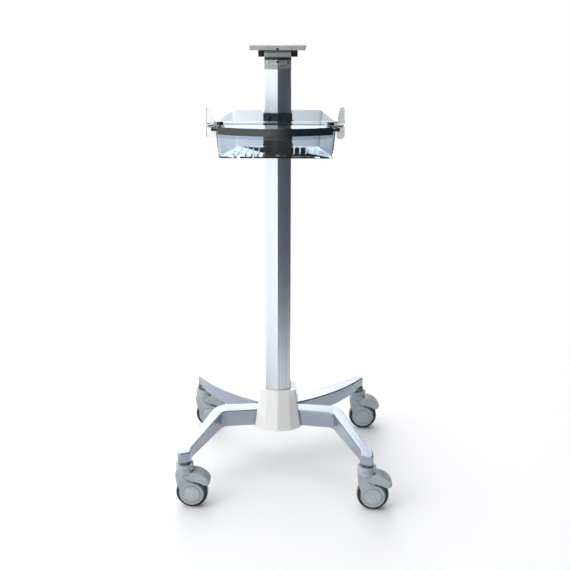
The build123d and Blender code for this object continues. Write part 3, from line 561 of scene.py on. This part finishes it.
clear_smoke = surface(
    "clear_smoke", "d3dce4", "dae2e9", (0.02, 0.05), 120, 8, 0.006, IOR=1.06, Transmission_Weight=1.0,
    Coat_Weight=0.4, Coat_Roughness=0.04,
)
machined("tray_moulding", ["tray_bin"], [clear_smoke], 0.5, 2)
black_steel = surface("black_steel", "141518", "202226", (0.25, 0.35), 6, 0.3, 0.004, Metallic=0.6)
tray_wall_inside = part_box("tray_screws")[0].y / MM + 2.4
screws(
    "tray_screw_set",
    [(at(x, tray_wall_inside, z), (0, -1, 0)) for x in (-20, 20) for z in (850, 888)],
    (2.5, 8, 4.5, 2.4, 1.6),
    black_steel,
    "tray_screws",
)

# ---- handle -------------------------------------------------------------------------------------
# A bowed handle joins the tray's front: a clear flange on top and a deep clear skirt that the user
# pulls. The skirt's upper part is a dark smoked band, and its lower edge is dark as well.

dark_smoke = surface(
    "dark_smoke", "1c1e22", "26292e", (0.06, 0.12), 60, 6, 0.01, Coat_Weight=0.4, Coat_Roughness=0.05
)
handle = machined("bowed_handle", ["front_handle"], [clear_smoke, dark_smoke], 0.5, 2)
flange_thickness = 3 * MM
flange_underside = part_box("front_handle")[1].z - flange_thickness
band_bottom = 881 * MM
band = bmesh.new()
band.from_mesh(handle.data)
bmesh.ops.bisect_plane(
    band, geom=band.verts[:] + band.edges[:] + band.faces[:], plane_co=(0, 0, band_bottom), plane_no=(0, 0, 1)
)
skirt_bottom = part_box("front_handle")[0].z
for face in band.faces:
    height = face.calc_center_median().z
    on_edge = height < skirt_bottom + 0.5 * MM
    face.material_index = 1 if on_edge or band_bottom < height < flange_underside - 0.5 * MM else 0
band.to_mesh(handle.data)
band.free()

# ---- cable hooks --------------------------------------------------------------------------------
# Two hooks in lightly frosted clear plastic sit on the handle's ears. Each has a foot, a tapered
# horn above and a lobe below, and is held by a black knob with a nut block under the flange.

frosted = surface(
    "frosted_clear", "dfe4e2", "e8ebe9", (0.1, 0.18), 30, 1.0, 0.015, IOR=1.2, Transmission_Weight=0.9,
    Coat_Weight=0.3,
)
for side in ("left", "right"):
    machined(f"hook_{side}", [f"cable_hook_{side}"], [frosted], 1.0, 3)
knob_black = surface("knob_black", "0a0b0c", "151618", (0.18, 0.3), 10, 0.5, 0.01)
machined("knob_pair", ["hook_knobs"], [knob_black], 0.4)
machined("nut_pair", ["hook_nuts"], [knob_black], 0.5)

# ---- column cap ---------------------------------------------------------------------------------
# A die-cast aluminium cap closes the column, with two turned grooves round it. Two button-headed
# screws fix it, and a black set screw in the middle locks the swivel. A nylon washer lies on top.

cast_grey = surface("cast_grey", "9a9b9c", "a8a9aa", (0.36, 0.46), 18, 0.6, 0.02, Metallic=0.6)
machined("cap_casting", ["column_cap"], [cast_grey], 0.4, 2)
slant = Vector((7, -30, 0)).normalized()
screws(
    "cap_screw_pair",
    [(at(side * 22.5, -33 + 7 * 0.75, 1015.5), (side * slant.x, slant.y, 0)) for side in (-1, 1)],
    (2.0, 8, 3.2, 1.4, 1.2),
    plated_steel,
    "cap_screws",
)
machined("swivel_lock_screw", ["cap_set_screw"], [knob_black], 0.2)
machined("nylon_washer", ["swivel_washer"], [textured_black], 0.4)
paint_node(["swivel_spigot", "spigot_nut", "tilt_axle"], plated_steel)

# ---- tilt hinge ---------------------------------------------------------------------------------
# The tilt block, painted blue-grey, turns on the cap. Two black moulded knuckles hang from the
# carrier plate on either side of it, and a steel axle with friction discs runs through all three.

block_paint = surface("block_paint", "acb8b9", "b8c3c4", (0.35, 0.45), 20, 0.5, 0.02, Metallic=0.2)
machined("hinge_block", ["tilt_block"], [block_paint], 0.5)
for side in ("left", "right"):
    machined(f"knuckle_{side}", [f"tilt_knuckle_{side}"], [textured_black], 0.5)

# ---- mounting plate -----------------------------------------------------------------------------
# Two aluminium plates in fine grey powder coat, screwed together. The upper one has two squares of
# holes for the machine, and a black lock screw sits in the lower one's front edge.

powder_grey = surface("powder_grey", "a6a6a6", "b4b4b3", (0.42, 0.52), 35, 0.4, 0.03, Metallic=0.1)
machined("carrier", ["tilt_carrier"], [powder_grey], 0.4)
machined("top_plate", ["mounting_plate"], [powder_grey], 0.4)
machined("carrier_lock_screw", ["plate_lock_screw"], [knob_black], 0.2)
machined("carrier_screw_set", ["carrier_screws"], [plated_steel], 0.15)

# ---- studio -------------------------------------------------------------------------------------
# Pale floor that fades into a white room, which is bright on the left and dark on the right, with
# soft lights on the left, above and behind. The camera stands in front, a little above the tray.

scene = bpy.context.scene
scene.view_settings.view_transform = "Standard"
floor_mesh = bpy.data.meshes.new("floor")
floor_shape = bmesh.new()
bmesh.ops.create_circle(floor_shape, cap_ends=True, radius=2.6, segments=96)
floor_shape.to_mesh(floor_mesh)
floor_shape.free()
floor = bpy.data.objects.new("floor", floor_mesh)
scene.collection.objects.link(floor)
pale_floor = bpy.data.materials.new("pale_floor")
pale_floor.use_nodes = True
tree = pale_floor.node_tree
principled = tree.nodes["Principled BSDF"]
principled.inputs["Roughness"].default_value = 0.6
principled.inputs["Specular IOR Level"].default_value = 0.2
principled.inputs["Base Color"].default_value = (0.87, 0.87, 0.87, 1)
place = add_node(tree, "ShaderNodeTexCoord").outputs["Object"]
reach = add_node(tree, "ShaderNodeVectorMath", {0: place}, operation="LENGTH").outputs["Value"]
fade_start = 0.55
fade_end = 1.4
fade = add_node(
    tree,
    "ShaderNodeMapRange",
    {"Value": reach, "From Min": fade_start, "From Max": fade_end},
    interpolation_type="SMOOTHSTEP",
)
clear = add_node(tree, "ShaderNodeBsdfTransparent")
blend = add_node(
    tree, "ShaderNodeMixShader", {0: fade.outputs[0], 1: principled.outputs[0], 2: clear.outputs[0]}
)
tree.links.new(blend.outputs[0], tree.nodes["Material Output"].inputs["Surface"])
floor_mesh.materials.append(pale_floor)

world = bpy.data.worlds.new("white_room")
scene.world = world
world.use_nodes = True
tree = world.node_tree
backdrop = tree.nodes["Background"]
outward = add_node(tree, "ShaderNodeTexCoord").outputs["Generated"]
direction = add_node(tree, "ShaderNodeSeparateXYZ", {0: outward})
sweep = add_node(
    tree,
    "ShaderNodeMapRange",
    {"Value": direction.outputs["X"], "From Min": -0.2, "From Max": 0.22},
    interpolation_type="SMOOTHSTEP",
)
room = add_node(tree, "ShaderNodeValToRGB", {"Fac": sweep.outputs[0]})
room.color_ramp.elements[0].color = (1.5, 1.5, 1.51, 1)
room.color_ramp.elements[1].color = (0.055, 0.065, 0.09, 1)
ray = add_node(tree, "ShaderNodeLightPath")
seen = add_node(
    tree, "ShaderNodeMix", {0: ray.outputs["Is Camera Ray"], 6: room.outputs["Color"], 7: (1, 1, 1, 1)},
    data_type="RGBA",
)
tree.links.new(seen.outputs[2], backdrop.inputs["Color"])
backdrop.inputs["Strength"].default_value = 1.0

lamps = (
    ("key", (-2.2, -1.6, 2.6), (0, 0, 0.4), 1.8, 22.0),
    ("top", (0.2, 0.3, 3.2), (0, 0, 0), 2.4, 26.0),
    ("back", (0.0, 3.0, 1.7), (0, 0, 0.2), 2.4, 34.0),
)
for name, place, aim, width, watts in lamps:
    light = bpy.data.lights.new(name, "AREA")
    light.size = width
    light.energy = watts
    lamp = bpy.data.objects.new(name, light)
    lamp.location = place
    lamp.rotation_euler = (Vector(aim) - Vector(place)).to_track_quat("-Z", "Y").to_euler()
    lamp.visible_camera = False
    scene.collection.objects.link(lamp)

lens = bpy.data.cameras.new("camera")
lens.sensor_width = 36
lens.lens = 59.17
lens.shift_x = 0.0105
lens.shift_y = -0.0202
camera = bpy.data.objects.new("camera", lens)
camera.location = (0.0646, -2.1774, 1.180)
camera.rotation_euler = (math.radians(90 - 17.07), 0, math.radians(1.64))
scene.collection.objects.link(camera)
scene.camera = camera
